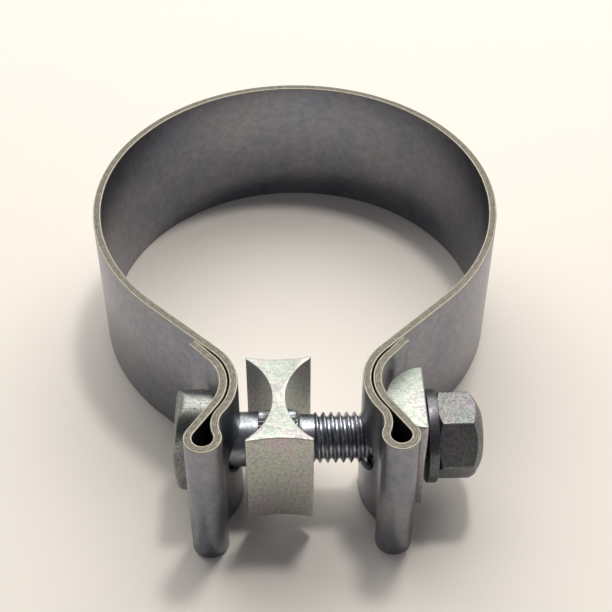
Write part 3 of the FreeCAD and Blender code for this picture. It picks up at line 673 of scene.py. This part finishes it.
def bolt_shank():
    """Smooth shank, the core under the knurl, and the relief turned before the thread."""
    knurl_start = HEAD_X + KNURL_TO_HEAD
    knurl_end = knurl_start + KNURL_LENGTH
    thread_start = knurl_end + RELIEF_LENGTH
    inside_head, inside_thread = HEAD_X + 4, thread_start + 3
    core, stub = KNURL_VALLEY - 0.1, THREAD_ROOT - 0.3
    fillet = [(0.05, KNURL_VALLEY), (0.4, RELIEF_RADIUS + 0.2), (0.8, RELIEF_RADIUS + 0.04),
              (1.1, RELIEF_RADIUS)]
    profile = ([(inside_head, 0), (inside_head, SHANK_RADIUS), (knurl_start, SHANK_RADIUS),
                (knurl_start + 0.3, core), (knurl_end - 0.3, core)]
               + [(knurl_end + run, radius) for run, radius in fillet]
               + [(thread_start + 0.6, RELIEF_RADIUS), (thread_start + 1.1, stub), (inside_thread, stub),
                  (inside_thread, 0)])
    piece = to_object("shank", turned(profile, RING_STEPS), SHANK_ZINC, move=Vector((0, BOLT_Y, 0)))
    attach(piece, "bolt")


def bolt_knurl():
    """A band of straight ridges pressed round the shank, which grips the block's bore."""
    knurl_start = HEAD_X + KNURL_TO_HEAD
    bm = bmesh.new()
    ring = bmesh.ops.create_circle(bm, segments=2 * KNURL_RIDGES, radius=KNURL_VALLEY)["verts"]
    bmesh.ops.rotate(bm, verts=ring, cent=(0, 0, 0), matrix=Matrix.Rotation(math.pi / 2, 3, "Y"))
    bmesh.ops.translate(bm, verts=ring, vec=ALONG_BOLT * knurl_start)
    loop = list(bm.edges)
    bmesh.ops.contextual_create(bm, geom=loop)
    for advance, radius in ((KNURL_RUN_IN, KNURL_RADIUS), (KNURL_LENGTH - 2 * KNURL_RUN_IN, KNURL_RADIUS),
                            (KNURL_RUN_IN, KNURL_VALLEY)):
        made = bmesh.ops.extrude_edge_only(bm, edges=loop)["geom"]
        verts = verts_of(made)
        bmesh.ops.translate(bm, verts=verts, vec=ALONG_BOLT * advance)
        ranked = sorted(verts, key=lambda v: math.atan2(v.co.z, v.co.y))
        for number, vert in enumerate(ranked):  # every second point is a ridge, the others stay in the valley
            wanted = radius if number % 2 == 0 else KNURL_VALLEY
            now = math.hypot(vert.co.y, vert.co.z)
            vert.co.y *= wanted / now
            vert.co.z *= wanted / now
        loop = boundary_loop(made)
    bmesh.ops.contextual_create(bm, geom=loop)
    bmesh.ops.recalc_face_normals(bm, faces=bm.faces)
    piece = to_object("knurl", bm, SHANK_ZINC, smooth_below=20, move=Vector((0, BOLT_Y, 0)))
    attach(piece, "bolt")


def bolt_thread():
    """The rolled right-hand thread: one tooth wound along the bolt and trimmed at both ends."""
    start = HEAD_X + KNURL_TO_HEAD + KNURL_LENGTH + RELIEF_LENGTH
    end = BOLT_HIGH.x
    flank_foot, flank_top = 0.17, 0.63
    foot_rise, crest_ease = 0.03, 0.05
    tooth = [(0, THREAD_ROOT), (flank_foot, THREAD_ROOT + foot_rise), (flank_top, THREAD_RADIUS - crest_ease),
             (flank_top + crest_ease, THREAD_RADIUS), (THREAD_PITCH - flank_top - crest_ease, THREAD_RADIUS),
             (THREAD_PITCH - flank_top, THREAD_RADIUS - crest_ease),
             (THREAD_PITCH - flank_foot, THREAD_ROOT + foot_rise), (THREAD_PITCH, THREAD_ROOT)]
    turns = math.ceil((end - start) / THREAD_PITCH) + 3
    before = start - 2 * THREAD_PITCH
    bm = bmesh.new()
    last = bm.verts.new((before, tooth[0][1], 0))
    for x, radius in tooth[1:]:
        last = bmesh.ops.extrude_vert_indiv(bm, verts=[last])["verts"][0]
        last.co = (before + x, radius, 0)
    bmesh.ops.spin(bm, geom=list(bm.verts) + list(bm.edges), cent=(0, 0, 0), axis=ALONG_BOLT,
                   dvec=ALONG_BOLT * THREAD_PITCH / THREAD_STEPS, angle=2 * math.pi * turns,
                   steps=THREAD_STEPS * turns, use_duplicate=False)
    bmesh.ops.remove_doubles(bm, verts=bm.verts, dist=NEAR_POINT)
    overrun = 0.2
    for plane, normal in ((start - overrun, -ALONG_BOLT), (end + overrun, ALONG_BOLT)):
        everything = list(bm.verts) + list(bm.edges) + list(bm.faces)
        bmesh.ops.bisect_plane(bm, geom=everything, dist=0.0001, plane_co=(plane, 0, 0), plane_no=normal,
                               clear_outer=True)
        rim = [e for e in bm.edges if e.is_boundary and abs(e.verts[0].co.x - plane) < SAME_POINT
               and abs(e.verts[1].co.x - plane) < SAME_POINT]
        bmesh.ops.contextual_create(bm, geom=rim)
    bmesh.ops.recalc_face_normals(bm, faces=bm.faces)
    piece = to_object("thread", bm, THREAD_ZINC, move=Vector((0, BOLT_Y, 0)))
    run_out, point, over_crest = 0.9, 1.2, THREAD_RADIUS + 0.1
    stock = turned([(start, 0), (start, RELIEF_RADIUS - 0.1), (start + run_out, over_crest),
                    (end - point, over_crest), (end, THREAD_ROOT - 0.2), (end, 0)], RING_STEPS)
    cut(piece, "INTERSECT", to_object("stock", stock, move=Vector((0, BOLT_Y, 0))))
    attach(piece, "bolt")


# ---------------------------------------------------------------- block, bar, washer, nut

def reaction_block():
    """Drawn spool section, sawn to length: hollow sides that match the lugs, dished front and back."""
    half_width = (BLOCK_HIGH.x - BLOCK_LOW.x) / 2
    half_depth = (BLOCK_HIGH.y - BLOCK_LOW.y) / 2
    height = BLOCK_HIGH.z - BLOCK_LOW.z
    centre_x = BLOCK_WAIST / 2 + BLOCK_HOLLOW_RADIUS
    rise = math.sqrt(BLOCK_HOLLOW_RADIUS**2 - (centre_x - half_width)**2)
    hollow_turn = 2 * math.degrees(math.atan2(rise, centre_x - half_width))
    dish_radius = (half_width**2 + BLOCK_DISH**2) / (2 * BLOCK_DISH)
    dish_y = half_depth - BLOCK_DISH + dish_radius
    dish_turn = 2 * math.degrees(math.asin(half_width / dish_radius))
    bm = extruded((half_width, rise, 0),
                  [("to", (half_width, half_depth, 0)), ("round", (0, dish_y, 0), -dish_turn),
                   ("to", (-half_width, rise, 0)), ("round", (-centre_x, 0, 0), -hollow_turn),
                   ("to", (-half_width, -half_depth, 0)), ("round", (0, -dish_y, 0), -dish_turn),
                   ("to", (half_width, -rise, 0)), ("round", (centre_x, 0, 0), -hollow_turn)], height)
    soften(bm, BLOCK_EDGE)
    sawn_ends(bm)
    centre = (BLOCK_LOW + BLOCK_HIGH) / 2
    piece = to_object("reaction_block", bm, BLOCK_ZINC, SAWN_ZINC, move=centre)
    bore(piece, BLOCK_BORE, BLOCK_LOW, BLOCK_HIGH)
    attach(piece, "block")
    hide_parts("reaction_block")


def half_round_bar():
    """Half-round bar that beds in the right lug, sawn to length, flat towards the washer."""
    height = BAR_HIGH.z - BAR_LOW.z
    centre_x = BAR_LOW.x + BEARING_RADIUS
    flat_x = BAR_HIGH.x - centre_x
    half_side = math.sqrt(BEARING_RADIUS**2 - flat_x**2)
    spread = 2 * (180 - math.degrees(math.atan2(half_side, flat_x)))
    bm = extruded((flat_x, half_side, 0), [("round", (0, 0, 0), spread), ("to", (flat_x, half_side, 0))],
                  height)
    soften(bm, BAR_EDGE)
    sawn_ends(bm)
    piece = to_object("half_round_bar", bm, BAR_ZINC, SAWN_ZINC, move=Vector((centre_x, BOLT_Y, 0)))
    bore(piece, BAR_BORE, BAR_LOW, BAR_HIGH)
    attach(piece, "bar")
    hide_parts("half_round_bar")


def washer():
    """Punched washer: rolled over on the side that faces the nut, crisp on the other."""
    low, high = WASHER_LOW.x, WASHER_HIGH.x
    radius = (WASHER_HIGH.y - WASHER_LOW.y) / 2
    roll, crisp = 0.35, 0.1
    profile = [(low, BAR_BORE + crisp), (low, radius - crisp), (low + crisp, radius),
               (high - roll, radius), (high - roll * 0.3, radius - roll * 0.3), (high, radius - roll),
               (high, BAR_BORE + roll), (high - roll, BAR_BORE), (low + crisp, BAR_BORE),
               (low, BAR_BORE + crisp)]
    piece = to_object("washer", turned(profile, WASHER_STEPS), WASHER_ZINC, move=Vector((0, BOLT_Y, 0)))
    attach(piece, "loose_washer")
    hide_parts("washer")


def hex_nut():
    """Cold-pressed hexagon nut, domed outside and coned inside so that its flats end in arcs."""
    low, high = NUT_LOW.x, NUT_HIGH.x
    outside = 1.2 * NUT_CORNER
    flat = NUT_CORNER * math.sqrt(3) / 2
    foot_run = (outside - flat) * 0.6
    bm = bmesh.new()
    bmesh.ops.create_circle(bm, cap_ends=True, segments=6, radius=NUT_CORNER)
    bmesh.ops.rotate(bm, verts=bm.verts, cent=(0, 0, 0), matrix=Matrix(((0, 0, 1), (1, 0, 0), (0, 1, 0))))
    corner = max(bm.verts, key=lambda v: v.co.y)
    bmesh.ops.rotate(bm, verts=bm.verts, cent=(0, 0, 0), matrix=Matrix.Rotation(
        math.radians(NUT_CLOCKING) - math.atan2(corner.co.z, corner.co.y), 3, "X"))
    bmesh.ops.translate(bm, verts=bm.verts, vec=ALONG_BOLT * low)
    risen = bmesh.ops.extrude_face_region(bm, geom=list(bm.faces), use_keep_orig=True)["geom"]
    bmesh.ops.translate(bm, verts=verts_of(risen), vec=ALONG_BOLT * (high - low))
    bmesh.ops.recalc_face_normals(bm, faces=bm.faces)
    uprights = [e for e in bm.edges if abs((e.verts[0].co - e.verts[1].co).normalized().x) > 0.9]
    bmesh.ops.bevel(bm, geom=uprights, offset=NUT_CORNER_EDGE, affect="EDGES", segments=3, profile=0.5,
                    material=-1)
    piece = to_object("hex_nut", bm, NUT_ZINC, move=Vector((0, BOLT_Y, 0)))
    dome_centre = high - math.sqrt(NUT_DOME**2 - NUT_BORE**2)
    dome_start, dome_end = math.asin(outside / NUT_DOME), math.asin(NUT_BORE / NUT_DOME)
    dome = [(dome_centre + NUT_DOME * math.cos(a), NUT_DOME * math.sin(a))
            for a in (dome_start + (dome_end - dome_start) * i / DOME_STEPS for i in range(DOME_STEPS + 1))]
    domed = turned([(low, 0), (low, flat), (low + foot_run, outside)] + dome + [(high, 0)], NUT_STEPS)
    cut(piece, "INTERSECT", to_object("domed", domed, move=Vector((0, BOLT_Y, 0))))
    bore(piece, NUT_BORE, NUT_LOW, NUT_HIGH)
    round_edges(piece, NUT_EDGE, sharper_than=25)
    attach(piece, "nut")
    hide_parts("hex_nut")


# ---------------------------------------------------------------- floor, light and camera

def floor():
    """A plain pale floor at the height of the band's lower edge: matt card, so it shows only soft shadows."""
    bm = bmesh.new()
    bmesh.ops.create_grid(bm, x_segments=1, y_segments=1, size=FLOOR_HALF)
    material, _, shader, _ = finish("matt_white_card", Base_Color=linear("#f1ede8"), Roughness=0.7)
    shader.inputs["Specular IOR Level"].default_value = 0.25
    piece = to_object("floor", bm, material, move=Vector((0, 0, BAND_LOW.z)))


def surroundings():
    """A soft room: bright behind and above, dim on the side that the clamp is seen from."""
    world = bpy.data.worlds.new("soft_room")
    bpy.context.scene.world = world
    world.use_nodes = True
    tree = world.node_tree
    way = node(tree, "TexCoord").outputs["Generated"]
    axes = node(tree, "SeparateXYZ", {"Vector": way})
    lean = node(tree, "Math", {0: axes.outputs["Z"], 1: ROOM_LEAN, 2: axes.outputs["Y"]},
                operation="MULTIPLY_ADD")
    tone = node(tree, "ValToRGB", {"Fac": node(tree, "MapRange", {
        "Value": lean.outputs["Value"], "From Min": -1.0, "From Max": 1.0}).outputs["Result"]},
        stops=[(0.15, "#55545b"), (0.5, "#77767c"), (0.68, "#a09d9a"), (0.95, "#e6e0d6")])
    light = tree.nodes["Background"]
    tree.links.new(tone.outputs["Color"], light.inputs["Color"])
    light.inputs["Strength"].default_value = ROOM_LIGHT


def lamp(name, place, aim, width, height, power, colour):
    """A soft light panel aimed at a point; places and sizes in millimetres."""
    data = bpy.data.lights.new(name, "AREA")
    data.shape = "RECTANGLE"
    data.size, data.size_y = width * MM, height * MM
    data.energy = power
    data.color = linear(colour)[:3]
    light = bpy.data.objects.new(name, data)
    bpy.context.scene.collection.objects.link(light)
    light.location = Vector(place) * MM
    light.rotation_mode = "QUATERNION"
    back = (Vector(place) - Vector(aim)).normalized()
    across = UP.cross(back).normalized()
    light.rotation_quaternion = Matrix((across, back.cross(across), back)).transposed().to_quaternion()


def camera():
    """Looks down on the bolt side, as the clamp lies on the floor."""
    elevation, roll, yaw = (math.radians(a) for a in (CAMERA_ELEVATION, CAMERA_ROLL, CAMERA_YAW))
    ahead = Vector((math.sin(yaw) * math.cos(elevation), math.cos(yaw) * math.cos(elevation),
                    -math.sin(elevation)))
    right = Vector((math.cos(yaw), -math.sin(yaw), 0))
    up = right.cross(ahead)
    rolled_right = math.cos(roll) * right + math.sin(roll) * up
    rolled_up = -math.sin(roll) * right + math.cos(roll) * up
    data = bpy.data.cameras.new("camera")
    data.sensor_width = SENSOR_WIDTH
    data.lens = LENS
    data.clip_start, data.clip_end = 0.02, 20
    seen = bpy.data.objects.new("camera", data)
    bpy.context.scene.collection.objects.link(seen)
    seen.matrix_world = Matrix.Translation(Vector(CAMERA_PLACE) * MM) @ Matrix(
        (rolled_right, rolled_up, -ahead)).transposed().to_4x4()
    bpy.context.scene.camera = seen


for make in (band, bolt_head, bolt_shank, bolt_knurl, bolt_thread, reaction_block, half_round_bar, washer,
             hex_nut, floor, surroundings, camera):
    make()
lamp("overhead", (110, 165, 700), (0, 0, 0), 90, 90, 1.6, "#fff8ee")
lamp("window_behind", (0, 640, 770), (0, 0, 0), 1900, 800, 11.4, "#fcf8f2")
bpy.context.scene.view_settings.view_transform = "Standard"
